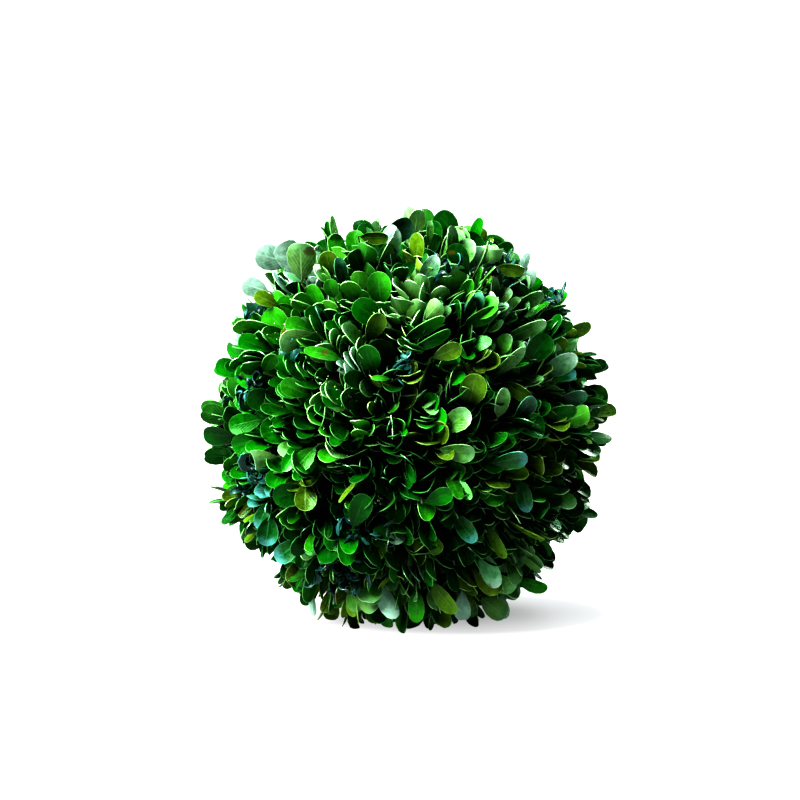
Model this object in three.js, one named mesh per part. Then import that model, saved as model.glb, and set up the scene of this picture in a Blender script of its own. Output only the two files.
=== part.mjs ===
// A preserved box ball: bunches of cut box sprigs, set in rows round a foam core into a clipped ball.
// Millimetres, +Z up. The origin is the middle of the flat patch that the ball rests on.
import * as THREE from "three";

// The ball, measured from its middle
const sideReach = 130; // to the outermost leaf tips at the sides
const crownReach = 136.5; // to the topmost leaf tips
const restHeight = 127; // down to the surface that the ball rests on, where its leaves are pressed flat
const edgeFall = 6; // how much lower the leaf mass lies at the edge of a bunch than at its middle

// The lumps and hollows that tufts of leaves make in the clipped surface
const tuftRelief = 8; // from the lowest hollow to the tip of the proudest tuft
const tuftSpacings = [62, 33, 21];
const wavesPerSpacing = 3;

// The foam core that the sprigs are pinned to
const coreRadius = 88;
const coreSegments = 24;
const coreClearance = 0.4;

// The rows of bunches from the top down. down is the angle from straight up, turn that of the first bunch.
const rows = [
  { name: "crown", count: 1, down: 0, turn: 0 },
  { name: "upper", count: 6, down: 33, turn: 10 },
  { name: "shoulder", count: 10, down: 62, turn: 28 },
  { name: "belt", count: 11, down: 90, turn: 4 },
  { name: "lower", count: 10, down: 118, turn: 20 },
  { name: "skirt", count: 6, down: 147, turn: 40 },
  { name: "underside", count: 1, down: 180, turn: 0 },
];
const wander = 3.2; // degrees that a bunch stands off its place in the row, at most
const parting = 0.4; // degrees of clear space on each side of the line between two bunches

// How finely each bunch's surface is divided
const bunchSides = 14;
const leafRings = 4;
const backRings = 2;
const backFacet = 12; // half the widest angle between neighbouring points of a bunch's back, in degrees

const foliageGreens = [0x1f6b17, 0x2a7a1c, 0x17590f, 0x36801f];
const foamColour = 0x2c3420;

const middle = new THREE.Vector3(0, 0, restHeight);
const upwards = new THREE.Vector3(0, 0, 1);

// Repeatable random numbers between low and high.
function randomFrom(seed) {
  let state = seed;
  return (low, high) => {
    state = (Math.imul(state, 1664525) + 1013904223) >>> 0;
    return THREE.MathUtils.lerp(low, high, state / 2 ** 32);
  };
}

function directionAt(down, turn) {
  const polar = THREE.MathUtils.degToRad(down);
  const azimuth = THREE.MathUtils.degToRad(turn);
  const across = Math.sin(polar);
  return new THREE.Vector3(across * Math.cos(azimuth), across * Math.sin(azimuth), Math.cos(polar));
}

// Each bunch has a name and the direction in which it stands from the middle of the ball.
function placeBunches() {
  const random = randomFrom(7);
  const bunches = [];
  for (const row of rows) {
    for (let i = 0; i < row.count; i++) {
      const alone = row.count === 1;
      const stray = () => (alone ? 0 : random(-wander, wander));
      bunches.push({
        name: alone ? `foliage_${row.name}` : `foliage_${row.name}_${i + 1}`,
        towards: directionAt(row.down + stray(), row.turn + (360 * i) / row.count + stray()),
      });
    }
  }
  return bunches;
}

// Waves that cross the ball in random directions: together they make its tufts.
function makeTuftWaves() {
  const random = randomFrom(33);
  const waves = [];
  for (const spacing of tuftSpacings) {
    for (let i = 0; i < wavesPerSpacing; i++) {
      const down = THREE.MathUtils.radToDeg(Math.acos(random(-1, 1)));
      const across = directionAt(down, random(0, 360)).multiplyScalar((2 * Math.PI * sideReach) / spacing);
      waves.push({ across, start: random(0, 2 * Math.PI) });
    }
  }
  return waves;
}

const tuftWaves = makeTuftWaves();

// How far a tuft sinks below the outermost leaf tips in a direction.
function tuftSink(towards) {
  const height = tuftWaves.reduce((sum, wave) => sum + Math.sin(wave.across.dot(towards) + wave.start), 0);
  const share = THREE.MathUtils.clamp(height / Math.sqrt(2 * tuftWaves.length), -1, 1);
  return (tuftRelief * (1 - share)) / 2;
}

// How far the leaves reach in a direction: a slightly tall ball, cut off level where it rests.
function leafReach(towards, offCentre) {
  const tips = 1 / Math.hypot(Math.hypot(towards.x, towards.y) / sideReach, towards.z / crownReach);
  const reach = tips - tuftSink(towards) - edgeFall * offCentre ** 4;
  return towards.z < 0 ? Math.min(reach, restHeight / -towards.z) : reach;
}

// The angle from a bunch's middle to its edge, which lies halfway to the nearest bunch on that side.
function edgeAngle(bunch, bunches, heading) {
  let edge = Math.PI / 2;
  for (const other of bunches) {
    if (other === bunch) continue;
    const apart = bunch.towards.angleTo(other.towards);
    const facing = other.towards.clone().projectOnPlane(bunch.towards).normalize().dot(heading);
    if (facing > 0) edge = Math.min(edge, Math.atan(Math.tan(apart / 2) / facing));
  }
  return edge - THREE.MathUtils.degToRad(parting);
}

// A bunch starts as a small ball: its upper rings become the leafy outside, its lower ones lie on the core.
function makeBunchGeometry(bunch, bunches) {
  const rings = leafRings + 1 + backRings;
  const geometry = new THREE.SphereGeometry(1, bunchSides, rings);
  const points = geometry.getAttribute("position");
  const sideways = Math.abs(bunch.towards.x) < 0.8 ? new THREE.Vector3(1, 0, 0) : new THREE.Vector3(0, 1, 0);
  const aside = sideways.projectOnPlane(bunch.towards).normalize();
  const along = aside.clone().cross(bunch.towards);
  const backReach = (coreRadius + coreClearance) / Math.cos(THREE.MathUtils.degToRad(backFacet));
  const point = new THREE.Vector3();
  for (let i = 0; i < points.count; i++) {
    point.fromBufferAttribute(points, i);
    const ring = Math.floor(i / (bunchSides + 1));
    const outside = ring <= leafRings;
    const offCentre = outside ? Math.sin((Math.PI / 2) * (ring / leafRings)) : (rings - ring) / backRings;
    const towards = bunch.towards.clone();
    if (offCentre > 0) {
      const heading = aside.clone().multiplyScalar(point.x).addScaledVector(along, point.z).normalize();
      const angle = edgeAngle(bunch, bunches, heading) * offCentre;
      towards.multiplyScalar(Math.cos(angle)).addScaledVector(heading, Math.sin(angle));
    }
    point.copy(middle).addScaledVector(towards, outside ? leafReach(towards, offCentre) : backReach);
    points.setXYZ(i, point.x, point.y, point.z);
  }
  geometry.computeVertexNormals();
  return geometry;
}

function makeBunch(bunch, bunches, green) {
  const material = new THREE.MeshStandardMaterial({ color: green, roughness: 0.45, metalness: 0 });
  const mesh = new THREE.Mesh(makeBunchGeometry(bunch, bunches), material);
  mesh.name = bunch.name;
  return mesh;
}

function makeCore() {
  const material = new THREE.MeshStandardMaterial({ color: foamColour, roughness: 0.95, metalness: 0 });
  const core = new THREE.Mesh(new THREE.SphereGeometry(coreRadius, coreSegments, coreSegments / 2), material);
  core.name = "foam_core";
  core.quaternion.setFromUnitVectors(new THREE.Vector3(0, 1, 0), upwards);
  core.position.copy(middle);
  return core;
}

const ball = new THREE.Group();
ball.add(makeCore());
const bunches = placeBunches();
bunches.forEach((bunch, i) => {
  ball.add(makeBunch(bunch, bunches, foliageGreens[i % foliageGreens.length]));
});

export default ball;
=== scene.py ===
import bpy
import bmesh
import math
import random
import numpy as np
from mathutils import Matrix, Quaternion, Vector, noise
from mathutils.bvhtree import BVHTree


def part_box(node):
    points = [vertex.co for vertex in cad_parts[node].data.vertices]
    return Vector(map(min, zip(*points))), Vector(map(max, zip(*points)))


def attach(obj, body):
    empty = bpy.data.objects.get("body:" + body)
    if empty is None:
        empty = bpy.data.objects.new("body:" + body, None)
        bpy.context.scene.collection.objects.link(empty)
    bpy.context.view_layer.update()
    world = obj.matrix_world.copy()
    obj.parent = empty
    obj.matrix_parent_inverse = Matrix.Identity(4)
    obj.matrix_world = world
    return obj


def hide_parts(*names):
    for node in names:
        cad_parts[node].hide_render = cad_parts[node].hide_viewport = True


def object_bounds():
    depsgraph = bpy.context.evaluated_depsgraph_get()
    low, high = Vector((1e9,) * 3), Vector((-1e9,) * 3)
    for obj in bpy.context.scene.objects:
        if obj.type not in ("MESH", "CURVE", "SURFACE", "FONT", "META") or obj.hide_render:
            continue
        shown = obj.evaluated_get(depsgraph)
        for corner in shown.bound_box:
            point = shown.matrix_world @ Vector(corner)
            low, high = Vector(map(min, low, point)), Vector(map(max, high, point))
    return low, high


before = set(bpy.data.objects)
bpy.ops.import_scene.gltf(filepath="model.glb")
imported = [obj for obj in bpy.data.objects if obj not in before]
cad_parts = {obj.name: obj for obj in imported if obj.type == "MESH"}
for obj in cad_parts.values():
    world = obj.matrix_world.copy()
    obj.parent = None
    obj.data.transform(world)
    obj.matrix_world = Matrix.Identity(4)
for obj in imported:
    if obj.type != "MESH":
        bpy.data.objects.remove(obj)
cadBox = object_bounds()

# The ball as it was packed. Lengths are in metres and angles in degrees.
coreLow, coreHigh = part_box("foam_core")
ballCentre = (coreLow + coreHigh) / 2
coreRadius = (coreHigh.x - coreLow.x) / 2
ballRadius = (cadBox[1].x - cadBox[0].x) / 2
foliageNodes = sorted(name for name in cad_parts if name.startswith("foliage_"))
front = -90
print("bunches of foliage", len(foliageNodes))


# Directions on the ball: turn goes round it from the right-hand side, with -90 in front, and rise goes up.
def directionOf(turn, rise):
    level = math.cos(math.radians(rise))
    turned = math.radians(turn)
    return Vector((level * math.cos(turned), level * math.sin(turned), math.sin(math.radians(rise))))


def strayFrom(direction, degrees, chance):
    stray = Vector((chance.gauss(0, 1), chance.gauss(0, 1), chance.gauss(0, 1)))
    stray -= direction * stray.dot(direction)
    return (direction + stray.normalized() * math.tan(math.radians(degrees))).normalized()


def addObject(name, data):
    added = bpy.data.objects.new(name, data)
    bpy.context.scene.collection.objects.link(added)
    return added


def placeLooking(name, data, target, turn, rise, distance):
    holder = addObject(name, data)
    towards = directionOf(turn, rise)
    holder.location = target + towards * distance
    holder.rotation_euler = (-towards).to_track_quat("-Z", "Y").to_euler()
    return holder


view = {"lens": 85, "distance": 1.175, "rise": 8.0, "aim": (-0.0038, 0.0, 0.1425), "clipStart": 0.05}


def makeCamera():
    camera = bpy.data.cameras.new("camera")
    camera.lens = view["lens"]
    camera.clip_start = view["clipStart"]
    aim = Vector(view["aim"])
    bpy.context.scene.camera = placeLooking("camera", camera, aim, front, view["rise"], view["distance"])
    print("camera")


# gloss is each lamp's share in the highlights.
lamps = {
    "key": {"turn": -150, "rise": 43, "distance": 1.3, "size": 0.8, "power": 70,
            "tint": (1.0, 0.99, 0.96), "gloss": 0.35},
    "sky": {"turn": 15, "rise": 66, "distance": 1.1, "size": 0.35, "power": 10,
            "tint": (0.84, 0.93, 1.0), "gloss": 1.0},
    "front": {"turn": -75, "rise": 15, "distance": 1.7, "size": 0.5, "power": 0.5,
              "tint": (1.0, 1.0, 1.0), "gloss": 0.6},
    "back": {"turn": 60, "rise": 30, "distance": 1.4, "size": 0.6, "power": 15,
             "tint": (0.95, 1.0, 0.95), "gloss": 0.5},
}


def makeLamps():
    for name, lamp in lamps.items():
        light = bpy.data.lights.new(name, "AREA")
        light.shape = "DISK"
        light.size = lamp["size"]
        light.energy = lamp["power"]
        light.color = lamp["tint"]
        light.specular_factor = lamp["gloss"]
        placeLooking(name, light, ballCentre, lamp["turn"], lamp["rise"], lamp["distance"])
    print("lamps", len(lamps))


def addNode(tree, kind, **values):
    node = tree.nodes.new(kind)
    for name, value in values.items():
        setattr(node, name, value)
    return node


def feed(tree, socket, source):
    if isinstance(source, bpy.types.NodeSocket):
        tree.links.new(source, socket)
    else:
        socket.default_value = source


def calculate(tree, operation, *terms):
    node = addNode(tree, "ShaderNodeMath", operation=operation)
    for socket, term in zip(node.inputs, terms):
        feed(tree, socket, term)
    return node.outputs[0]


def smoothStep(tree, value, low, high, bottom=0.0, top=1.0):
    node = addNode(tree, "ShaderNodeMapRange", interpolation_type="SMOOTHSTEP")
    for socket, term in zip(node.inputs, (value, low, high, bottom, top)):
        feed(tree, socket, term)
    return node.outputs[0]


def blendColours(tree, share, first, second, blend="MIX"):
    node = addNode(tree, "ShaderNodeMix", data_type="RGBA", blend_type=blend)
    colours = [socket for socket in node.inputs if socket.type == "RGBA"]
    feed(tree, node.inputs[0], share)
    feed(tree, colours[0], first)
    feed(tree, colours[1], second)
    return next(socket for socket in node.outputs if socket.type == "RGBA")


def objectPlace(tree):
    return addNode(tree, "ShaderNodeTexCoord").outputs["Object"]


def addNoise(tree, scale, detail, roughness=0.5):
    texture = addNode(tree, "ShaderNodeTexNoise")
    tree.links.new(objectPlace(tree), texture.inputs["Vector"])
    texture.inputs["Scale"].default_value = scale
    texture.inputs["Detail"].default_value = detail
    texture.inputs["Roughness"].default_value = roughness
    return texture.outputs["Fac"]


def addBump(tree, shader, height, distance, strength=1.0):
    bump = addNode(tree, "ShaderNodeBump")
    bump.inputs["Strength"].default_value = strength
    bump.inputs["Distance"].default_value = distance
    tree.links.new(height, bump.inputs["Height"])
    tree.links.new(bump.outputs["Normal"], shader.inputs["Normal"])


def startGroup(name, inputs, outputs):
    group = bpy.data.node_groups.new(name, "ShaderNodeTree")
    for label, value in inputs.items():
        kind = "NodeSocketColor" if isinstance(value, tuple) else "NodeSocketFloat"
        group.interface.new_socket(label, in_out="INPUT", socket_type=kind).default_value = value
    for label, kind in outputs.items():
        group.interface.new_socket(label, in_out="OUTPUT", socket_type=kind)
    return group, addNode(group, "NodeGroupInput"), addNode(group, "NodeGroupOutput")


def startMaterial(name):
    material = bpy.data.materials.new(name)
    material.use_nodes = True
    return material, material.node_tree, material.node_tree.nodes["Principled BSDF"]


def opaque(colour):
    return (*colour, 1.0)


# A surface of two colours in specks, for the buds, the twigs and the core. The roughness is a range over the
# specks or one number for all.
def makeSpeckled(name, look):
    material, tree, shader = startMaterial(name)
    specks = addNoise(tree, **look["specks"])
    share = smoothStep(tree, specks, *look["speckEdge"])
    colour = blendColours(tree, share, *(opaque(colour) for colour in look["colours"]))
    tree.links.new(colour, shader.inputs["Base Color"])
    if isinstance(look["roughness"], tuple):
        tree.links.new(smoothStep(tree, specks, 0.3, 0.7, *look["roughness"]), shader.inputs["Roughness"])
    else:
        shader.inputs["Roughness"].default_value = look["roughness"]
    shader.inputs["Specular IOR Level"].default_value = look["shine"]
    addBump(tree, shader, specks, look["relief"])
    return material


def finishPiece(name, mesh, sharpFrom=None):
    mesh.polygons.foreach_set("use_smooth", np.ones(len(mesh.polygons), bool))
    if sharpFrom:
        mesh.set_sharp_from_angle(angle=math.radians(sharpFrom))
    mesh.update()
    return addObject(name, mesh)


# Where a leaf's marks lie: across it as shares of its half breadth, along it as shares of its length.
leafMarks = {
    "rib": (0.03, 0.1),
    "ribFades": (0.55, 1.0, 1.0, 0.2),
    "veinSlant": -0.45,
    "veinCloseness": 52.0,
    "veinEdge": (0.55, 1.0),
    "veinRelief": 0.3,
    # The pale margin is partly the leaf's own paler edge and partly a painted highlight where light catches
    # the edge.
    "sideMargin": (0.93, 0.99),
    "endMargin": (0.975, 0.998),
    "marginStarts": (0.15, 0.6),
    "tone": (0.5, 1.28),
    "blotches": {"scale": 260.0, "detail": 5.0, "roughness": 0.65},
    "blotchDepth": (-0.24, 0.24),
    "shadeFootToTip": (0.08, 0.8, 0.26, 1.12),
    "tipFadeAndSheen": (0.86, 1.22),
    "ageSpots": {"scale": 75.0, "detail": 2.0},
    "spotEdge": (0.7, 0.74, 0.0, 0.8),
    "wear": (-0.05, 0.12),
}


# The pattern of one leaf: rib, side veins, a pale margin that is partly a painted highlight, blotches, a
# faded tip that is partly a painted sheen, age spots and its depth of colour, with painted shade darkening it
# towards its foot.
# leafMap runs from 0 to 1 across the leaf and from its foot to its tip.
def makeLeafPattern():
    group, given, result = startGroup(
        "leafPattern",
        {
            "Blade": opaque((0.05, 0.2, 0.03)),
            "Rib": opaque((0.1, 0.3, 0.05)),
            "Margin": opaque((0.2, 0.4, 0.06)),
            "Tip": opaque((0.3, 0.5, 0.6)),
            "Tip Strength": 0.0,
            "Spots": opaque((0.07, 0.06, 0.012)),
            "Vein Strength": 0.2,
            "Rib Strength": 0.6,
            "Margin Strength": 0.8,
            "Roughness": 0.4,
        },
        {"Colour": "NodeSocketColor", "Roughness": "NodeSocketFloat", "Height": "NodeSocketFloat"},
    )
    marks = leafMarks
    given = given.outputs
    leafMap = addNode(group, "ShaderNodeUVMap", uv_map="leafMap")
    split = addNode(group, "ShaderNodeSeparateXYZ")
    group.links.new(leafMap.outputs[0], split.inputs[0])
    along = split.outputs[1]
    across = calculate(group, "ABSOLUTE", calculate(group, "MULTIPLY_ADD", split.outputs[0], 2.0, -1.0))
    rib = calculate(group, "MULTIPLY", smoothStep(group, across, *marks["rib"], 1.0, 0.0),
                    smoothStep(group, along, *marks["ribFades"]))
    slant = calculate(group, "MULTIPLY_ADD", across, marks["veinSlant"], along)
    ripple = calculate(group, "SINE", calculate(group, "MULTIPLY", slant, marks["veinCloseness"]))
    veins = smoothStep(group, ripple, *marks["veinEdge"])
    # Margin: partly the leaf's own paler edge, partly a painted highlight where light catches it.
    margin = calculate(group, "MAXIMUM", smoothStep(group, across, *marks["sideMargin"]),
                       smoothStep(group, along, *marks["endMargin"]))
    margin = calculate(group, "MULTIPLY", margin, smoothStep(group, along, *marks["marginStarts"]))

    # Each leaf's tone holds its own random tone together with painted shade on the lower pairs of a sprig and
    # painted light on the low fringe.
    tone = addNode(group, "ShaderNodeAttribute", attribute_name="leafToneAndPaintedLight").outputs["Fac"]
    blotches = addNoise(group, **marks["blotches"])
    depth = calculate(group, "ADD", smoothStep(group, tone, 0.0, 1.0, *marks["tone"]),
                      smoothStep(group, blotches, 0.3, 0.7, *marks["blotchDepth"]))
    # Painted shade: the leaf darkens towards its foot, where the leaves over it shade it, and lightens a
    # little towards its tip.
    depth = calculate(group, "MULTIPLY", depth, smoothStep(group, along, *marks["shadeFootToTip"]))
    colour = blendColours(group, 1.0, given["Blade"], depth, "MULTIPLY")
    # The faded tip: partly a real fade, partly a painted sheen towards the tip.
    patchy = calculate(group, "MULTIPLY_ADD", blotches, 0.5, along)
    fadedAndSheen = smoothStep(group, patchy, *marks["tipFadeAndSheen"])
    for mark, strength, shade in ((veins, "Vein Strength", "Rib"), (rib, "Rib Strength", "Rib"),
                                  (fadedAndSheen, "Tip Strength", "Tip")):
        share = calculate(group, "MULTIPLY", mark, given[strength])
        colour = blendColours(group, share, colour, given[shade])
    spotted = smoothStep(group, addNoise(group, **marks["ageSpots"]), *marks["spotEdge"])
    colour = blendColours(group, spotted, colour, given["Spots"])
    edged = calculate(group, "MULTIPLY", margin, given["Margin Strength"])
    colour = blendColours(group, edged, colour, given["Margin"])
    group.links.new(colour, result.inputs["Colour"])
    worn = smoothStep(group, blotches, 0.3, 0.75, *marks["wear"])
    group.links.new(calculate(group, "ADD", given["Roughness"], worn), result.inputs["Roughness"])
    relief = calculate(group, "MULTIPLY_ADD", veins, marks["veinRelief"], rib)
    group.links.new(relief, result.inputs["Height"])
    return group


leafPattern = makeLeafPattern()

# The kinds of leaf. upper and under are a leaf's two faces, edge is its thin rim, its pale colour partly a
# painted highlight, and tip how its end faded, partly a real fade and partly a painted sheen.
leafKinds = {
    "deep": {"slot": "leaf_deep", "upper": (0.001, 0.045, 0.002), "under": (0.005, 0.062, 0.006),
             "edge": (0.04, 0.165, 0.045), "share": 0.26},
    "mid": {"slot": "leaf_green", "upper": (0.002, 0.1, 0.001), "under": (0.02, 0.125, 0.012),
            "edge": (0.09, 0.28, 0.08), "share": 0.38},
    "bright": {"slot": "leaf_green", "upper": (0.018, 0.165, 0.004), "under": (0.045, 0.2, 0.015),
               "edge": (0.18, 0.4, 0.14), "share": 0.14},
    "olive": {"slot": "leaf_olive", "upper": (0.06, 0.125, 0.005), "under": (0.12, 0.2, 0.022),
              "edge": (0.22, 0.38, 0.11), "share": 0.1},
    # The bluish kind's paler tip is a painted highlight.
    "bluish": {"slot": "leaf_deep", "upper": (0.003, 0.045, 0.016), "under": (0.02, 0.11, 0.05),
               "edge": (0.1, 0.33, 0.2), "tip": (0.05, 0.18, 0.11), "share": 0.035},
    # The pale and mint kinds' tips are partly a real fade and partly a painted sheen.
    "pale": {"slot": "leaf_pale", "upper": (0.055, 0.19, 0.025), "under": (0.115, 0.26, 0.07),
             "edge": (0.25, 0.46, 0.21), "tip": (0.16, 0.37, 0.17), "share": 0.08},
    "mint": {"slot": "leaf_pale", "upper": (0.09, 0.28, 0.12), "under": (0.23, 0.4, 0.31),
             "edge": (0.33, 0.52, 0.4), "tip": (0.34, 0.53, 0.43), "share": 0.02},
    # The tipped kind's pale blue tips are a painted reflection of a cool light.
    "tipped": {"slot": "leaf_deep", "upper": (0.002, 0.075, 0.007), "under": (0.008, 0.095, 0.02),
               "edge": (0.1, 0.36, 0.21), "tip": (0.07, 0.24, 0.24), "share": 0.015},
    "dried": {"slot": "leaf_dried", "upper": (0.003, 0.024, 0.023), "under": (0.014, 0.088, 0.08),
              "edge": (0.045, 0.21, 0.19), "share": 0.0},
}

# How a leaf's faces are finished. ribShare is how far the rib goes from the blade's colour to the edge's.
leafFaces = {
    "upper": {"veins": 0.1, "ribs": 0.4, "ribShare": 0.4, "edging": 0.75, "tipping": 0.8,
              "roughness": 0.27, "shine": 0.38},
    "under": {"veins": 0.3, "ribs": 0.55, "ribShare": 0.6, "edging": 0.6, "tipping": 0.8,
              "roughness": 0.38, "shine": 0.28},
    "rim": {"veins": 0.0, "ribs": 0.0, "ribShare": 0.0, "edging": 0.0, "tipping": 0.0,
            "roughness": 0.3, "shine": 0.6},
}
leafGloss = {"fresh": (0.42, 1.0, 0.46), "fadedAndSheen": (0.8, 1.0, 0.85), "rim": (0.8, 1.0, 0.9)}
leafRelief = {"strength": 0.35, "distance": 0.0003}


def between(first, second, share):
    return tuple(a + (b - a) * share for a, b in zip(first, second))


def makeLeafMaterials(kind):
    look = leafKinds[kind]
    blades = {"upper": look["upper"], "under": look["under"], "rim": look["edge"]}
    fadedAndSheen = "tip" in look or kind == "dried"
    materials = []
    for face, finish in leafFaces.items():
        material, tree, shader = startMaterial(kind + "_" + face)
        pattern = addNode(tree, "ShaderNodeGroup", node_tree=leafPattern)
        values = {
            "Blade": opaque(blades[face]),
            "Rib": opaque(between(blades[face], look["edge"], finish["ribShare"])),
            "Margin": opaque(look["edge"]),
            "Tip": opaque(look.get("tip", look["edge"])),
            "Tip Strength": finish["tipping"] if "tip" in look else 0.0,
            "Vein Strength": finish["veins"],
            "Rib Strength": finish["ribs"],
            "Margin Strength": finish["edging"],
            "Roughness": finish["roughness"],
        }
        for label, value in values.items():
            pattern.inputs[label].default_value = value
        tree.links.new(pattern.outputs["Colour"], shader.inputs["Base Color"])
        tree.links.new(pattern.outputs["Roughness"], shader.inputs["Roughness"])
        addBump(tree, shader, pattern.outputs["Height"], leafRelief["distance"], leafRelief["strength"])
        gloss = leafGloss["rim" if face == "rim" else "fadedAndSheen" if fadedAndSheen else "fresh"]
        shader.inputs["Specular Tint"].default_value = opaque(gloss)
        shader.inputs["Specular IOR Level"].default_value = finish["shine"]
        materials.append(material)
    return materials


# Each outline is a flat grid drawn in to shape. widest is where along the leaf it is broadest, notch how deep
# its tip is dented and cut how much of its end the shears took off.
leafOutlines = {
    "obovate": {"breadth": 0.55, "widest": 0.66, "share": 0.36},
    "round": {"breadth": 0.68, "widest": 0.6, "share": 0.06},
    "oval": {"breadth": 0.45, "widest": 0.57, "share": 0.34},
    "notched": {"breadth": 0.56, "widest": 0.67, "notch": 0.035, "share": 0.08},
    "clipped": {"breadth": 0.56, "widest": 0.64, "cut": 0.26, "share": 0.04},
    "slender": {"breadth": 0.3, "widest": 0.58, "share": 0.12},
    "shrivelled": {"breadth": 0.3, "widest": 0.5, "share": 0.0},
}
# lines are where the rows of the grid lie along the leaf. stalk is the length of its stalk.
leafGrid = {
    "columns": 4,
    "lines": (0.0, 0.09, 0.27, 0.49, 0.7, 0.86, 0.955),
    "stalk": 0.09,
    "stalkWidth": 0.07,
    "tipRounding": 0.5,
    "cutLift": 0.03,
    "cutSlant": -0.06,
}


def outlineWidth(along, outline):
    blade = (along - leafGrid["stalk"]) / (1 - leafGrid["stalk"])
    if blade <= 0:
        return leafGrid["stalkWidth"]
    widest = outline["widest"]
    fall = leafGrid["tipRounding"]
    rise = fall * widest / (1 - widest)
    peak = widest ** rise * (1 - widest) ** fall
    return leafGrid["stalkWidth"] + (1 - leafGrid["stalkWidth"]) * blade ** rise * (1 - blade) ** fall / peak


def meshTable(bm):
    bm.verts.index_update()
    corners = np.array([vert.co for vert in bm.verts])
    faces = [[vert.index for vert in face.verts] for face in bm.faces]
    lift = np.array([face.normal.z for face in bm.faces])
    bm.free()
    return corners, faces, lift


# A blade of unit length: two faces and the rim between them. surface is 0 above, 1 below and 2 on the rim.
def makeBlade(outline):
    rows = len(leafGrid["lines"]) - 1
    bm = bmesh.new()
    bmesh.ops.create_grid(bm, x_segments=leafGrid["columns"], y_segments=rows, size=1)
    bmesh.ops.solidify(bm, geom=bm.faces[:], thickness=0.1)
    bmesh.ops.recalc_face_normals(bm, faces=bm.faces[:])
    corners, faces, lift = meshTable(bm)
    surface = np.where(lift > 0.5, 0, np.where(lift < -0.5, 1, 2))
    side = corners[:, 0]
    row = (corners[:, 1] + 1) / 2
    end = row > 0.99
    cut, notch = outline.get("cut", 0.0), outline.get("notch", 0.0)
    along = np.interp(row, np.linspace(0, 1, rows + 1), leafGrid["lines"]) * (1 - cut)
    width = np.array([outlineWidth(a, outline) for a in along]) * outline["breadth"] / 2
    if cut:
        along = along + end * (leafGrid["cutLift"] + leafGrid["cutSlant"] * side)
    else:
        dent = notch * (np.abs(side) < 0.1)
        along = along + end * ((1 - leafGrid["lines"][-1]) * (1 - side ** 2) - dent)
    thick = np.sign(corners[:, 2] - corners[:, 2].mean()) / 2
    return {"across": side * width, "along": along, "thick": thick, "faces": np.array(faces),
            "surface": surface, "map": np.stack([(side + 1) / 2, row], axis=1)}


blades = {name: makeBlade(outline) for name, outline in leafOutlines.items()}
print("leaf blades", len(blades), "of", len(blades["round"]["faces"]), "faces")

# nodes are the pairs of leaves on a sprig, from its end down.
sprigs = {
    "count": 620,
    "seed": 11,
    "nodes": 4,
    "nodeGap": 0.0080,
    "nodeGapStray": (0.85, 1.15),
    "lowestNode": 0.04,
    "spacingStray": (0, 0.4),
    "bunchLean": (3, 22),
    "ownLean": 12,
    "reachStray": (-0.007, 0.003),
    "proudShare": 0.07,
    "proudBy": (0.003, 0.008),
    "sunk": 0.985,
    "opening": (10, 6.0),
    "openingStray": 10,
    "openingLimits": (4, 84),
    "flatness": (0.25, 0.9),
    "flatnessStray": 0.2,
    "facingStray": 22,
    "spinStray": 0.35,
    "pairStray": 0.18,
    "twinStray": 0.12,
    "twigBase": 0.0011,
    "twigTip": 0.0006,
    "bunchKindShare": 0.3,
    "ownKindShare": 0.86,
    "tone": (0.2, 1.2),
    # Each pair further down a sprig is painted darker by this much: painted shade deep between the sprigs.
    "shadePerNode": 0.14,
}
# fold, arch and twist are a middle and a spread. showing is the share of a leaf past the end of its twig.
sprigLeaf = {
    "length": 0.0242, "lengthStray": (0.88, 1.12), "sizeStray": (0.82, 1.16), "youngest": 0.9,
    "showing": 0.84, "thickness": 0.0005, "breadth": (0.88, 1.14), "roll": 0.3, "toneStray": 0.22,
    "fold": (0.22, 0.17), "arch": (0.08, 0.22), "twist": (0, 0.16),
}

# Sprays of one kind: where they are on the ball, how wide, which kind, and its share there.
accents = [
    (-165, 50, 14, "mint", 0.5),
    (-135, 50, 24, "bright", 0.45),
    (-115, 70, 18, "pale", 0.5),
    (-150, 72, 12, "bright", 0.5),
    (-60, 55, 20, "pale", 0.5),
    (-30, 62, 14, "mint", 0.35),
    (-40, 30, 22, "pale", 0.35),
    (-45, 5, 16, "olive", 0.45),
    (-65, 10, 18, "olive", 0.3),
    (-150, 20, 22, "mid", 0.5),
    (-155, 25, 12, "mint", 0.3),
    (-131, 1, 12, "mid", 0.75),
    (-130, 0, 20, "bright", 0.3),
    (-140, -22, 14, "tipped", 0.45),
    (-105, -20, 20, "deep", 0.6),
    # Painted shade: the darkest kind massed on the lower right, the side away from the key lamp.
    (-30, -25, 28, "deep", 0.75),
    # Painted light: paler olive and pale kinds massed low on the front stand in for light bounced up from the
    # floor.
    (-105, -52, 13, "olive", 0.6),
    (-98, -58, 18, "pale", 0.5),
    (-62, -48, 14, "olive", 0.5),
    (-50, -52, 16, "pale", 0.55),
    (-25, 80, 12, "deep", 0.8),
]
# The side away from the camera gets sprays of its own by chance.
farAccents = {"count": 18, "seed": 5, "turn": (15, 165), "height": (-0.9, 0.95), "spread": (10, 22),
              "share": (0.35, 0.7)}

# Where the sprays share a way of facing: the place and width of the patch and the direction its leaves face.
facings = [
    (-35, 25, 48, (-0.35, -0.4, 0.85)),
    (-30, -30, 40, (-0.2, -0.25, 0.95)),
    (-80, 5, 24, (-0.5, -0.3, 0.8)),
]
facingLook = {"stray": (5, 28), "flatness": 0.6}

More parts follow.
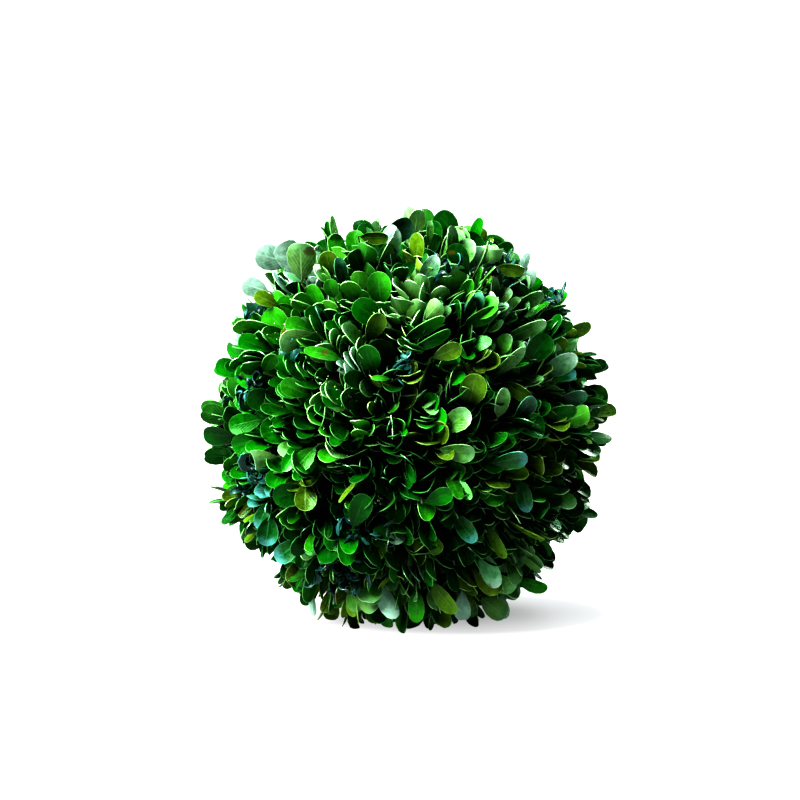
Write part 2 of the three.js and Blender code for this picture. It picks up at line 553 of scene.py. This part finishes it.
# Single leaves that stand out. Each has the place of its middle (turn, rise), the way it points as seen from
# the front (0 right, 90 up), how far its tip comes forward, its roll from facing front, its length, its kind
# and its outline. A roll of about 180 shows the underside. proud is how far the group stands out.
standouts = {
    "fan on the left shoulder": {"tone": 0.32, "proud": 0.009, "leaves": [
        (-169, 52, 166, 10, 192, 0.024, "mint", "round"),
        (-160, 55, 122, 5, 188, 0.0255, "mint", "round"),
        (-146, 54, 90, 15, 186, 0.0265, "pale", "round"),
        (-172, 43, 165, 0, 190, 0.018, "mint", "round"),
    ]},
    "beside the fan": {"tone": 0.6, "leaves": [
        (-133, 57, 100, 20, 10, 0.017, "olive", "round"),
        (-122, 54, 93, 22, 15, 0.018, "bluish", "oval"),
        (-121, 47, 105, 25, 0, 0.013, "bright", "round"),
        (-151, 41, 150, 15, 20, 0.017, "olive", "obovate"),
        (-167, 38, 95, 10, 20, 0.020, "bluish", "clipped"),
    ]},
    "bright ones high on the front": {"tone": 0.6, "leaves": [
        (-101, 48, 95, 24, -15, 0.0215, "bright", "round"),
        (-104, 41, 140, 18, 15, 0.022, "mid", "round"),
        (-101, 35, 62, 25, 25, 0.021, "olive", "obovate"),
        (-101, 26, 110, 30, -20, 0.020, "mid", "round"),
        (-97, 21, 172, 15, 40, 0.012, "bright", "slender"),
        (-79, 27, 22, 20, 10, 0.019, "olive", "obovate"),
        (-71, 17, 75, 22, 0, 0.023, "olive", "round"),
        (-77, 9, 38, 24, 12, 0.0235, "pale", "obovate"),
        (-77, 1, -8, 24, 16, 0.0225, "pale", "obovate"),
        (-85, 34, 27, 20, 25, 0.029, "bright", "slender"),
        (-83, 30, 22, 18, 25, 0.026, "mid", "slender"),
        (-115, 27, 160, 15, 30, 0.024, "bright", "slender"),
        (-63, 13, 75, 20, 25, 0.020, "pale", "oval"),
    ]},
    "on the crown": {"tone": 0.4, "leaves": [
        (-35, 76, 128, 0, 10, 0.021, "deep", "round"),
        (-24, 70, 42, 0, -10, 0.0255, "deep", "round"),
        (-66, 74, 84, 12, 10, 0.015, "pale", "slender"),
        (-109, 73, 56, 18, 165, 0.0225, "mint", "oval"),
        (-148, 72, 96, 8, 20, 0.022, "bright", "obovate"),
        (-174, 68, 88, 0, 10, 0.019, "mid", "slender"),
        (-101, 76, 30, 10, 15, 0.022, "bluish", "round"),
        (-97, 65, 75, 15, 30, 0.0215, "mint", "slender"),
        (-101, 61, 57, 15, 30, 0.021, "pale", "slender"),
        (-112, 66, -5, 12, 15, 0.018, "olive", "oval"),
        (-61, 58, 120, 10, 15, 0.022, "deep", "obovate"),
    ]},
    "right shoulder": {"tone": 0.5, "leaves": [
        (-23, 62, 52, 5, 175, 0.025, "mint", "clipped"),
        (-35, 60, 78, 10, 160, 0.024, "pale", "clipped"),
        (-12, 54, 70, 0, 185, 0.019, "mint", "slender"),
        (-17, 50, 58, 0, 175, 0.020, "mint", "oval"),
        (-79, 57, 62, 20, 20, 0.023, "mint", "oval"),
        (-84, 51, 78, 20, 170, 0.021, "pale", "oval"),
        (-78, 48, 55, 22, 200, 0.020, "pale", "slender"),
        (-81, 40, 50, 25, 170, 0.016, "pale", "round"),
        (-64, 43, 42, 20, 165, 0.023, "bluish", "oval"),
        (-64, 38, 24, 20, 20, 0.024, "mid", "oval"),
        (-36, 22, 28, 14, 15, 0.0265, "mint", "oval"),
        (-31, 33, -8, 15, 20, 0.019, "bright", "oval"),
        (-35, 7, 22, 15, 170, 0.0215, "bright", "obovate"),
        (-58, 24, 38, 20, 20, 0.026, "pale", "slender"),
        (-48, 33, 22, 18, 30, 0.030, "pale", "slender"),
        (-46, 27, 50, 12, 10, 0.0215, "deep", "round"),
        (-56, 17, -35, 15, 20, 0.0205, "olive", "oval"),
        (-56, 11, 50, 15, 15, 0.020, "bluish", "obovate"),
        (-42, 9, 5, 12, 15, 0.0215, "mid", "oval"),
        (-34, 12, 18, 8, 15, 0.0215, "bluish", "oval"),
        (-18, 30, 20, 0, 20, 0.021, "olive", "oval"),
        (-30, 44, 25, 5, 25, 0.0215, "pale", "oval"),
        (-42, 51, -12, 8, 20, 0.018, "olive", "oval"),
        (-44, 59, 58, 5, 70, 0.024, "pale", "slender"),
    ]},
    "left side": {"tone": 0.48, "leaves": [
        (-127, 31, 197, 22, 170, 0.024, "pale", "obovate"),
        (-128, 35, 155, 25, 15, 0.019, "bright", "obovate"),
        (-124, 17, 150, 25, 10, 0.020, "bright", "obovate"),
        (-135, 23, 60, 25, 20, 0.014, "bright", "round"),
        (-143, 6, 190, 15, 20, 0.023, "mid", "obovate"),
        (-140, 1, 200, 15, 10, 0.024, "mid", "obovate"),
        (-118, -1, 225, 25, 10, 0.020, "bright", "obovate"),
        (-159, 0, 178, 0, -25, 0.020, "deep", "round"),
        (-161, 32, 145, 0, 30, 0.020, "mid", "slender"),
        (-133, -3, 185, 20, 170, 0.021, "pale", "clipped"),
        (-124, -12, 190, 20, 5, 0.021, "deep", "round"),
        (-130, -30, 215, 15, 0, 0.022, "tipped", "obovate"),
        (-138, -20, 240, 12, 10, 0.020, "tipped", "oval"),
        (-136, -24, 262, 15, 0, 0.019, "tipped", "round"),
    ]},
    "middle and lower right": {"tone": 0.6, "leaves": [
        (-103, -15, 70, 22, 15, 0.024, "deep", "obovate"),
        (-105, -8, 215, 20, 78, 0.027, "olive", "slender"),
        (-82, -11, 24, 20, 10, 0.019, "mid", "obovate"),
        (-62, -2, 12, 20, 25, 0.024, "tipped", "obovate"),
        (-73, -21, -52, 20, 5, 0.022, "tipped", "oval"),
        (-54, -13, -80, 15, 0, 0.021, "tipped", "oval"),
        (-62, -26, -60, 15, 20, 0.023, "olive", "slender"),
        (-53, -23, -32, 5, 70, 0.026, "olive", "slender"),
    ]},
    # Painted light: the low fringe is given a high tone and pale kinds to stand in for light from the floor,
    # under the ball's own shade.
    "low fringe": {"tone": 0.95, "leaves": [
        (-60, -37, -64, 14, 5, 0.025, "mint", "oval"),
        (-48, -46, -32, 10, 20, 0.022, "pale", "obovate"),
        (-57, -44, -40, 12, 170, 0.023, "olive", "obovate"),
        (-34, -57, -56, 4, 190, 0.023, "mint", "oval"),
        (-44, -55, -35, 8, 190, 0.020, "pale", "round"),
        (-25, -48, -20, 5, 20, 0.021, "bright", "oval"),
        (-76, -46, -56, 12, 5, 0.025, "olive", "oval"),
        (-65, -51, -88, 10, 170, 0.019, "mint", "notched"),
        (-86, -49, -90, 14, 0, 0.022, "bright", "oval"),
        (-99, -50, -62, 14, 170, 0.025, "mint", "oval"),
        (-108, -51, -45, 14, 175, 0.016, "pale", "round"),
        (-113, -50, -70, 12, 15, 0.017, "pale", "round"),
        (-115, -52, -95, 10, 20, 0.019, "olive", "oval"),
        (-140, -54, -88, 0, 160, 0.015, "mint", "slender"),
    ]},
}
standoutLook = {"proud": 0.002, "sunk": 0.36, "rollStray": 8, "toneStray": (0.8, 1.1), "fold": (0.15, 0.4),
                "arch": (0.1, 0.45), "twist": 0.08}

# Leaves that dried up into dark curls: the middle of each tuft, how wide it is and how many curls it has.
driedTufts = [
    (-131, 27, 4, 8),
    (-90, 25, 5, 14),
    (-145, 17, 4, 8),
    (-158, 36, 4, 7),
    (-140, -8, 4, 8),
    (-146, -13, 4, 8),
    (-104, -24, 8, 18),
    (-114, -42, 9, 26),
    (-27, 54, 6, 14),
    (-16, 42, 5, 8),
    (-150, 12, 5, 8),
    (-70, 58, 5, 6),
]
driedLook = {"seed": 23, "farTufts": 14, "farTurn": (20, 160), "farHeight": (-0.9, 0.9), "curls": (6, 14),
             "spread": (3, 8), "depth": (0.001, 0.009), "length": (0.007, 0.014), "lean": 60,
             "outward": (-0.6, 0.8), "sunk": 0.4, "narrowShare": 0.75, "breadth": (0.7, 1.3),
             "fold": (0.5, 1.1), "arch": (1.2, 3.4), "twist": (0.4, 2.2)}


def pickFrom(table, chance):
    draw = chance.random() * sum(entry["share"] for entry in table.values())
    for name, entry in table.items():
        draw -= entry["share"]
        if draw <= 0:
            return name
    return name


def leafyOutside():
    corners, faces = [], []
    for name in foliageNodes:
        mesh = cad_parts[name].data
        start = len(corners)
        corners += [vert.co.copy() for vert in mesh.vertices]
        faces += [[start + index for index in face.vertices] for face in mesh.polygons]
    return BVHTree.FromPolygons(corners, faces)


outside = leafyOutside()
# Rays start this many ball radii out. One that ends within least core radii went between two bunches.
rays = {"from": 1.4, "least": 1.2, "otherwise": 0.96}


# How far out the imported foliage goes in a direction, which is where the leaves end.
def reachAlong(direction):
    hit = outside.ray_cast(ballCentre + direction * ballRadius * rays["from"], -direction)[0]
    reach = (hit - ballCentre).length if hit else 0
    return reach if reach > coreRadius * rays["least"] else ballRadius * rays["otherwise"]


def bunchPlans(chance):
    plans = []
    for name in foliageNodes:
        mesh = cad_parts[name].data
        middle = sum((vert.co for vert in mesh.vertices), Vector()) / len(mesh.vertices)
        towards = (middle - ballCentre).normalized()
        lean = strayFrom(towards, chance.uniform(*sprigs["bunchLean"]), chance) - towards
        facing = strayFrom(towards, 89, chance)
        flatness = chance.uniform(*sprigs["flatness"])
        for turn, rise, spread, shared in facings:
            if math.degrees(towards.angle(directionOf(turn, rise))) < spread:
                facing = strayFrom(Vector(shared).normalized(), chance.uniform(*facingLook["stray"]), chance)
                flatness = max(flatness, facingLook["flatness"])
        plans.append({"towards": towards, "lean": lean, "kind": pickFrom(leafKinds, chance),
                      "facing": facing, "flatness": flatness})
    return plans


def spiralDirections(count, chance):
    golden = math.pi * (3 - math.sqrt(5))
    spacing = math.degrees(math.sqrt(4 * math.pi / count))
    for i in range(count):
        rise = math.degrees(math.asin(1 - (2 * i + 1) / count))
        stray = chance.uniform(*sprigs["spacingStray"]) * spacing
        yield strayFrom(directionOf(math.degrees(golden * i), rise), stray, chance)


def planAccents():
    chance = random.Random(farAccents["seed"])
    kinds = [kind for kind in leafKinds if kind != "dried"]
    sprays = list(accents)
    low, high = farAccents["turn"]
    for i in range(farAccents["count"]):
        turn = low + (high - low) * (i + chance.random()) / farAccents["count"]
        rise = math.degrees(math.asin(chance.uniform(*farAccents["height"])))
        sprays.append((turn, rise, chance.uniform(*farAccents["spread"]), chance.choice(kinds),
                       chance.uniform(*farAccents["share"])))
    return [(directionOf(turn, rise), math.radians(spread), kind, share)
            for turn, rise, spread, kind, share in sprays]


def kindAt(direction, plan, sprays, chance):
    for middle, spread, kind, share in sprays:
        if direction.angle(middle) < spread and chance.random() < share:
            return kind
    return plan["kind"] if chance.random() < sprigs["bunchKindShare"] else pickFrom(leafKinds, chance)


def startTwig(direction, plan, chance):
    lean = abs(chance.gauss(0, sprigs["ownLean"]))
    axis = strayFrom((direction + plan["lean"]).normalized(), lean, chance)
    reach = reachAlong(direction) + chance.uniform(*sprigs["reachStray"])
    if chance.random() < sprigs["proudShare"]:
        reach += chance.uniform(*sprigs["proudBy"])
    leafLength = sprigLeaf["length"] * chance.uniform(*sprigLeaf["lengthStray"])
    length = (reach - leafLength * sprigLeaf["showing"] - coreRadius) / ((1 + axis.dot(direction)) / 2)
    start = ballCentre + direction * coreRadius * sprigs["sunk"]
    return {"start": start, "out": direction, "axis": axis, "length": length}, leafLength


# The twig leaves the core straight out and bends steadily towards its axis. share runs from 0 to 1 along it.
def alongTwig(twig, share):
    tangent = (twig["out"] * (1 - share) + twig["axis"] * share).normalized()
    bend = share ** 2 / 2
    return twig["start"] + (twig["out"] * (share - bend) + twig["axis"] * bend) * twig["length"], tangent


# One leaf: it points along, and up is the way its upper face looks. A flat sprig has its leaves face one way.
def growLeaf(sprig, node, place, tangent, facing, out, chance):
    low, high = sprigs["openingLimits"]
    opening = sprigs["opening"][0] + sprigs["opening"][1] * node
    angle = math.radians(min(high, max(low, opening + chance.gauss(0, sprigs["openingStray"]))))
    along = (tangent * math.cos(angle) + out * math.sin(angle)).normalized()
    up = (tangent * math.sin(angle) - out * math.cos(angle)).normalized()
    up = up * (1 - sprig["flatness"]) + facing * sprig["flatness"]
    up = (up - along * up.dot(along)).normalized()
    up.rotate(Quaternion(along, chance.gauss(0, sprigLeaf["roll"])))
    size = (sprigLeaf["youngest"] if node == 0 else 1.0) * chance.uniform(*sprigLeaf["sizeStray"])
    kind = sprig["kind"] if chance.random() < sprigs["ownKindShare"] else pickFrom(leafKinds, chance)
    outline = pickFrom(leafOutlines, chance)
    # Lower pairs lose tone as painted shade deep in the ball.
    tone = sprig["tone"] + chance.gauss(0, sprigLeaf["toneStray"]) - sprigs["shadePerNode"] * node
    return {"kind": kind, "outline": outline, "base": place + out * sprigs["twigTip"] * 0.5, "along": along,
            "up": up, "length": sprig["leafLength"] * size, "tone": min(1, max(0, tone)),
            "breadth": chance.uniform(*sprigLeaf["breadth"]), "fold": chance.gauss(*sprigLeaf["fold"]),
            "arch": chance.gauss(*sprigLeaf["arch"]), "twist": chance.gauss(*sprigLeaf["twist"])}


def growSprigs():
    chance = random.Random(sprigs["seed"])
    plans = bunchPlans(chance)
    sprays = planAccents()
    leaves, twigs = [], []
    for direction in spiralDirections(sprigs["count"], chance):
        plan = max(plans, key=lambda p: p["towards"].dot(direction))
        twig, leafLength = startTwig(direction, plan, chance)
        twigs.append(twig)
        sprig = {"leafLength": leafLength, "kind": kindAt(direction, plan, sprays, chance),
                 "tone": chance.uniform(*sprigs["tone"])}
        spin = chance.gauss(0, sprigs["spinStray"])
        ownFacing = strayFrom(plan["facing"], abs(chance.gauss(0, sprigs["facingStray"])), chance)
        sprig["flatness"] = min(1, max(0, plan["flatness"] + chance.gauss(0, sprigs["flatnessStray"])))
        for node in range(sprigs["nodes"]):
            back = node * sprigs["nodeGap"] * chance.uniform(*sprigs["nodeGapStray"])
            place, tangent = alongTwig(twig, max(sprigs["lowestNode"], 1 - back / twig["length"]))
            facing = (ownFacing - tangent * ownFacing.dot(tangent)).normalized()
            spin += math.pi / 2 + chance.gauss(0, sprigs["pairStray"])
            for half in (0, math.pi):
                out = facing.cross(tangent)
                out.rotate(Quaternion(tangent, spin + half + chance.gauss(0, sprigs["twinStray"])))
                leaves.append(growLeaf(sprig, node, place, tangent, facing, out, chance))
    return leaves, twigs


def growStandouts():
    chance = random.Random(sprigs["seed"] + 1)
    look = standoutLook
    forwards = directionOf(front, 0)
    leaves, twigs = [], []
    for group in standouts.values():
        for turn, rise, clock, forward, roll, length, kind, outline in group["leaves"]:
            direction = directionOf(turn, rise)
            forward = math.radians(forward)
            along = directionOf(0, clock) * math.cos(forward) + forwards * math.sin(forward)
            up = (forwards - along * forwards.dot(along)).normalized()
            up.rotate(Quaternion(along, math.radians(roll + chance.gauss(0, look["rollStray"]))))
            proud = group.get("proud", look["proud"])
            depth = look["sunk"] * length * abs(along.dot(direction)) - proud
            base = ballCentre + direction * (reachAlong(direction) - depth) - along * length / 2
            leaves.append({"kind": kind, "outline": outline, "base": base, "along": along, "up": up,
                           "length": length, "tone": group["tone"] * chance.uniform(*look["toneStray"]),
                           "breadth": 1.0, "fold": chance.uniform(*look["fold"]),
                           "arch": chance.uniform(*look["arch"]), "twist": chance.gauss(0, look["twist"])})
            outward = (base - ballCentre).normalized()
            start = ballCentre + outward * coreRadius * sprigs["sunk"]
            twigs.append({"start": start, "out": outward, "axis": outward, "length": (base - start).length})
    return leaves, twigs


def growDriedCurls():
    chance = random.Random(driedLook["seed"])
    look = driedLook
    tufts = list(driedTufts)
    low, high = look["farTurn"]
    for i in range(look["farTufts"]):
        rise = math.degrees(math.asin(chance.uniform(*look["farHeight"])))
        tufts.append((low + (high - low) * chance.random(), rise, chance.uniform(*look["spread"]),
                      chance.randint(*look["curls"])))
    leaves = []
    for turn, rise, spread, count in tufts:
        for i in range(count):
            direction = strayFrom(directionOf(turn, rise), chance.uniform(0, spread), chance)
            depth = chance.uniform(*look["depth"])
            leant = strayFrom(direction, look["lean"], chance)
            along = (leant + direction * chance.uniform(*look["outward"])).normalized()
            up = along.orthogonal().normalized()
            up.rotate(Quaternion(along, chance.uniform(0, 2 * math.pi)))
            length = chance.uniform(*look["length"])
            base = ballCentre + direction * (reachAlong(direction) - depth) - along * length * look["sunk"]
            outline = "shrivelled" if chance.random() < look["narrowShare"] else "oval"
            leaf = {"kind": "dried", "outline": outline, "base": base, "along": along, "up": up,
                    "length": length, "tone": chance.random(), "breadth": chance.uniform(*look["breadth"])}
            for bend in ("fold", "arch", "twist"):
                leaf[bend] = chance.choice((-1, 1)) * chance.uniform(*look[bend])
            leaves.append(leaf)
    return leaves


# Leaves under the ball are pressed flat on whatever it stands on: nothing goes below the ground.
def pressDown(points, ease=0.004):
    low = points[..., 2] < ease
    points[..., 2] = np.where(low, ease * np.exp(np.minimum(points[..., 2], ease) / ease - 1), points[..., 2])
    return points


def gather(things, key):
    return np.array([thing[key] for thing in things], float)


leafBend = {"foldPower": 1.5, "foldOver": 0.3, "leastArch": 0.03}


# Bends the flat blade for every leaf at once: folded along its rib, arched along its length, and twisted.
def shapeLeaves(blade, leaves):
    length = gather(leaves, "length")[:, None]
    across = blade["across"] * length * gather(leaves, "breadth")[:, None]
    along = blade["along"] * np.ones_like(length)
    fold = gather(leaves, "fold")[:, None]
    folded = fold * np.abs(across) ** leafBend["foldPower"] / np.sqrt(length * leafBend["foldOver"])
    height = blade["thick"] * sprigLeaf["thickness"] + folded
    arch = gather(leaves, "arch")[:, None]
    arch = np.where(np.abs(arch) < leafBend["leastArch"], leafBend["leastArch"], arch)
    radius = length / arch
    forward = (radius + height) * np.sin(arch * along)
    raised = (radius + height) * np.cos(arch * along) - radius
    twist = gather(leaves, "twist")[:, None] * along
    turnedAcross = across * np.cos(twist) - raised * np.sin(twist)
    turnedUp = across * np.sin(twist) + raised * np.cos(twist)
    forwards, ups = gather(leaves, "along"), gather(leaves, "up")
    rights = np.cross(forwards, ups)
    points = gather(leaves, "base")[:, None, :] + turnedAcross[..., None] * rights[:, None, :]
    points += forward[..., None] * forwards[:, None, :] + turnedUp[..., None] * ups[:, None, :]
    return pressDown(points)


foliageLook = {"leavesPerPiece": 1400, "sharpFrom": 48}


def joinLeaves(name, leaves, materials):
    points, faces, surfaces, maps, tones = [], [], [], [], []
    start = 0
    for outline, blade in blades.items():
        group = [leaf for leaf in leaves if leaf["outline"] == outline]
        if not group:
            continue
        shaped = shapeLeaves(blade, group)
        count, corners = shaped.shape[:2]
        points.append(shaped.reshape(-1, 3))
        offsets = start + np.arange(count)[:, None, None] * corners
        faces.append((blade["faces"][None] + offsets).reshape(-1, 4))
        surfaces.append(np.tile(blade["surface"], count))
        maps.append(np.tile(blade["map"][blade["faces"]].reshape(-1, 2), (count, 1)))
        tones.append(np.repeat(gather(group, "tone"), len(blade["faces"])))
        start += count * corners
    mesh = bpy.data.meshes.new(name)
    mesh.from_pydata(np.concatenate(points), [], np.concatenate(faces))
    for material in materials:
        mesh.materials.append(material)
    mesh.polygons.foreach_set("material_index", np.concatenate(surfaces).astype(np.int32))
    mesh.uv_layers.new(name="leafMap").data.foreach_set("uv", np.concatenate(maps).ravel())
    tone = mesh.attributes.new("leafToneAndPaintedLight", "FLOAT", "FACE")
    tone.data.foreach_set("value", np.concatenate(tones).astype(np.float32))
    return finishPiece(name, mesh, foliageLook["sharpFrom"])


def makeFoliage(leaves):
    for kind, look in leafKinds.items():
        group = [leaf for leaf in leaves if leaf["kind"] == kind]
        materials = makeLeafMaterials(kind)
        parts = math.ceil(len(group) / foliageLook["leavesPerPiece"])
        for part in range(parts):
            name = f"leaves_{kind}" if parts == 1 else f"leaves_{kind}_{part + 1}"
            piece = joinLeaves(name, group[part::parts], materials)
            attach(piece, "root")
            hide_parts(*foliageNodes)
        print("leaves", kind, len(group))


# clusters are close groups of crumbs: turn, rise, how wide and how many.
budLook = {
    "seed": 31, "share": 0.3, "most": 4, "size": (0.0003, 0.0006), "scatter": 0.0011,
    "depth": (0.001, 0.008),
    "clusters": [(-107, 16, 4, 12), (-115, 19, 3, 9), (-98, -12, 2, 14), (-137, 33, 4, 8),
                 (-52, 52, 4, 8), (60, 20, 4, 10), (110, -10, 4, 10)],
    "colours": ((0.12, 0.3, 0.05), (0.4, 0.47, 0.38)), "specks": {"scale": 420.0, "detail": 3.0},
    "speckEdge": (0.4, 0.6), "roughness": (0.3, 0.6), "shine": 0.5, "relief": 0.0002,
}


# Tiny buds and crumbs: some at the ends of the twigs, the rest in a few close clusters.
def makeBuds(twigs):
    chance = random.Random(budLook["seed"])
    middles = []
    for twig in twigs:
        if chance.random() < budLook["share"]:
            end = alongTwig(twig, 1)[0]
            for i in range(chance.randint(1, budLook["most"])):
                middles.append(end + Vector([chance.gauss(0, budLook["scatter"]) for axis in range(3)]))
    for turn, rise, spread, count in budLook["clusters"]:
        for i in range(count):
            direction = strayFrom(directionOf(turn, rise), chance.uniform(0, spread), chance)
            depth = chance.uniform(*budLook["depth"])
            middles.append(ballCentre + direction * (reachAlong(direction) - depth))
    bm = bmesh.new()
    bmesh.ops.create_icosphere(bm, subdivisions=1, radius=1)
    corners, faces, lift = meshTable(bm)
    sizes = np.array([[chance.uniform(*budLook["size"]) for axis in range(3)] for middle in middles])
    points = pressDown(np.array(middles)[:, None, :] + corners[None] * sizes[:, None, :])
    offsets = np.arange(len(middles))[:, None, None] * len(corners)
    mesh = bpy.data.meshes.new("buds")
    mesh.from_pydata(points.reshape(-1, 3), [], (np.array(faces)[None] + offsets).reshape(-1, 3))
    mesh.materials.append(makeSpeckled("bud", budLook))
    piece = finishPiece("buds", mesh)
    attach(piece, "root")
    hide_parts(*foliageNodes)
    print("buds", len(middles))


twigLook = {
    "sides": 5, "rings": 4, "sharpFrom": 50, "colours": ((0.06, 0.15, 0.03), (0.07, 0.06, 0.03)),
    "specks": {"scale": 330.0, "detail": 4.0}, "speckEdge": (0.4, 0.65), "roughness": (0.5, 0.8),
    "shine": 0.5, "relief": 0.0003,
}


def makeTwigForm():
    bm = bmesh.new()
    bmesh.ops.create_cone(bm, cap_ends=True, segments=twigLook["sides"], radius1=1,
                          radius2=sprigs["twigTip"] / sprigs["twigBase"], depth=1)
    upright = [edge for edge in bm.edges if abs(edge.verts[0].co.z - edge.verts[1].co.z) > 0.5]
    bmesh.ops.subdivide_edges(bm, edges=upright, cuts=twigLook["rings"], use_grid_fill=True)
    return meshTable(bm)


# Every twig at once: the tapered form is bent along its twig as alongTwig says.
def makeTwigs(twigs):
    corners, faces, lift = makeTwigForm()
    share = (corners[:, 2] + 0.5)[None, :, None]
    bend = share ** 2 / 2
    starts, lengths = gather(twigs, "start")[:, None, :], gather(twigs, "length")[:, None, None]
    outs, axes = gather(twigs, "out")[:, None, :], gather(twigs, "axis")[:, None, :]
    centres = starts + lengths * (outs * (share - bend) + axes * bend)
    tangents = outs * (1 - share) + axes * share
    tangents /= np.linalg.norm(tangents, axis=2, keepdims=True)
    sideways = np.cross(tangents, np.where(np.abs(outs[..., 2:3]) < 0.9, (0, 0, 1.0), (1.0, 0, 0)))
    sideways /= np.linalg.norm(sideways, axis=2, keepdims=True)
    across = np.cross(tangents, sideways)
    rounds = corners[:, 0][None, :, None] * sideways + corners[:, 1][None, :, None] * across
    points = pressDown(centres + rounds * sprigs["twigBase"])
    allFaces = [[index + i * len(corners) for index in face] for i in range(len(twigs)) for face in faces]
    mesh = bpy.data.meshes.new("twigs")
    mesh.from_pydata(points.reshape(-1, 3), [], allFaces)
    mesh.materials.append(makeSpeckled("twig", twigLook))
    piece = finishPiece("twigs", mesh, twigLook["sharpFrom"])
    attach(piece, "root")
    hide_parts(*foliageNodes)
    print("twigs", len(twigs))


coreLook = {
    "sink": 0.0015, "unevenness": 0.0022, "lumpScale": 90, "lumps": (0.8, 2.0, 4),
    "colours": ((0.008, 0.012, 0.005), (0.012, 0.03, 0.008)), "specks": {"scale": 260.0, "detail": 6.0},
    "speckEdge": (0.4, 0.6), "roughness": 0.95, "shine": 0.1, "relief": 0.001,
}


def makeCore():
    bm = bmesh.new()
    bmesh.ops.create_icosphere(bm, subdivisions=6, radius=coreRadius - coreLook["sink"])
    for vert in bm.verts:
        lump = noise.fractal(vert.co * coreLook["lumpScale"], *coreLook["lumps"])
        vert.co += vert.co.normalized() * lump * coreLook["unevenness"]
    bmesh.ops.translate(bm, verts=bm.verts[:], vec=ballCentre)
    mesh = bpy.data.meshes.new("mossy_core")
    bm.to_mesh(mesh)
    bm.free()
    mesh.materials.append(makeSpeckled("mossyFoam", coreLook))
    piece = finishPiece("mossy_core", mesh)
    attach(piece, "root")
    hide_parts("foam_core")
    print("core")


# The shadow is a painted shadow, an ellipse on the floor. The floor lightens outwards from its middle, faster
# from its rim on.
floorLook = {
    "size": 8.0, "pale": (0.1, 0.1, 0.1), "unseen": (0.32, 0.32, 0.32), "shadowMiddle": (0.037, 0.026, 0.0),
    "shadowShape": (0.95, 1.75, 1.0), "liftNear": 0.195, "liftPerMetre": 3.2, "rimFrom": 0.035,
    "rimPerMetre": 9.5, "liftMost": 1.0,
}


def shadowLift(tree):
    look = floorLook
    moved = addNode(tree, "ShaderNodeVectorMath", operation="SUBTRACT")
    tree.links.new(objectPlace(tree), moved.inputs[0])
    moved.inputs[1].default_value = look["shadowMiddle"]
    squeezed = addNode(tree, "ShaderNodeVectorMath", operation="MULTIPLY")
    tree.links.new(moved.outputs[0], squeezed.inputs[0])
    squeezed.inputs[1].default_value = look["shadowShape"]
    length = addNode(tree, "ShaderNodeVectorMath", operation="LENGTH")
    tree.links.new(squeezed.outputs[0], length.inputs[0])
    away = length.outputs["Value"]
    slow = calculate(tree, "MULTIPLY_ADD", away, look["liftPerMetre"], look["liftNear"])
    beyond = calculate(tree, "SUBTRACT", away, look["rimFrom"])
    fast = calculate(tree, "MULTIPLY", beyond, look["rimPerMetre"])
    return calculate(tree, "MINIMUM", calculate(tree, "MAXIMUM", slow, fast), look["liftMost"])


# Seen by the camera the floor is lifted to white away from the foot of the ball and less near it, so the soft
# shadow there is painted; its own dim colour adds only a little real shade. Seen by the leaves it is dimmer,
# so that it throws little light back up.
def makeFloor():
    bm = bmesh.new()
    bmesh.ops.create_grid(bm, x_segments=1, y_segments=1, size=floorLook["size"])
    mesh = bpy.data.meshes.new("floor")
    bm.to_mesh(mesh)
    bm.free()
    material = bpy.data.materials.new("paleFloor")
    material.use_nodes = True
    tree = material.node_tree
    tree.nodes.clear()
    seen = addNode(tree, "ShaderNodeBsdfDiffuse")
    seen.inputs["Color"].default_value = opaque(floorLook["pale"])
    lift = addNode(tree, "ShaderNodeEmission")
    tree.links.new(shadowLift(tree), lift.inputs["Strength"])
    both = addNode(tree, "ShaderNodeAddShader")
    tree.links.new(seen.outputs[0], both.inputs[0])
    tree.links.new(lift.outputs[0], both.inputs[1])
    unseen = addNode(tree, "ShaderNodeBsdfDiffuse")
    unseen.inputs["Color"].default_value = opaque(floorLook["unseen"])
    chooseForCamera(tree, unseen, both, "ShaderNodeOutputMaterial")
    mesh.materials.append(material)
    floor = addObject("floor", mesh)
    print("floor")


def chooseForCamera(tree, unseen, seen, output):
    choose = addNode(tree, "ShaderNodeMixShader")
    tree.links.new(addNode(tree, "ShaderNodeLightPath").outputs["Is Camera Ray"], choose.inputs[0])
    tree.links.new(unseen.outputs[0], choose.inputs[1])
    tree.links.new(seen.outputs[0], choose.inputs[2])
    tree.links.new(choose.outputs[0], addNode(tree, output).inputs[0])


# What the camera sees round the ball is white; what lights the leaves is a faint cool glow.
room = {
    "seen": {"Color": (1.0, 1.0, 1.0, 1.0), "Strength": 1.0},
    "glow": {"Color": (0.75, 0.85, 1.0, 1.0), "Strength": 0.012},
    "look": "Very High Contrast",
}


def makeRoom():
    world = bpy.data.worlds.new("room")
    bpy.context.scene.world = world
    world.use_nodes = True
    tree = world.node_tree
    tree.nodes.clear()
    backgrounds = {}
    for name in ("seen", "glow"):
        backgrounds[name] = addNode(tree, "ShaderNodeBackground")
        for socket, value in room[name].items():
            backgrounds[name].inputs[socket].default_value = value
    chooseForCamera(tree, backgrounds["glow"], backgrounds["seen"], "ShaderNodeOutputWorld")
    bpy.context.scene.view_settings.view_transform = "Standard"
    bpy.context.scene.view_settings.look = room["look"]
    print("room")


makeCamera()
makeLamps()
makeFloor()
makeRoom()
leaves, twigs = growSprigs()
singleLeaves, singleTwigs = growStandouts()
makeFoliage(leaves + singleLeaves + growDriedCurls())
makeTwigs(twigs + singleTwigs)
makeBuds(twigs)
makeCore()
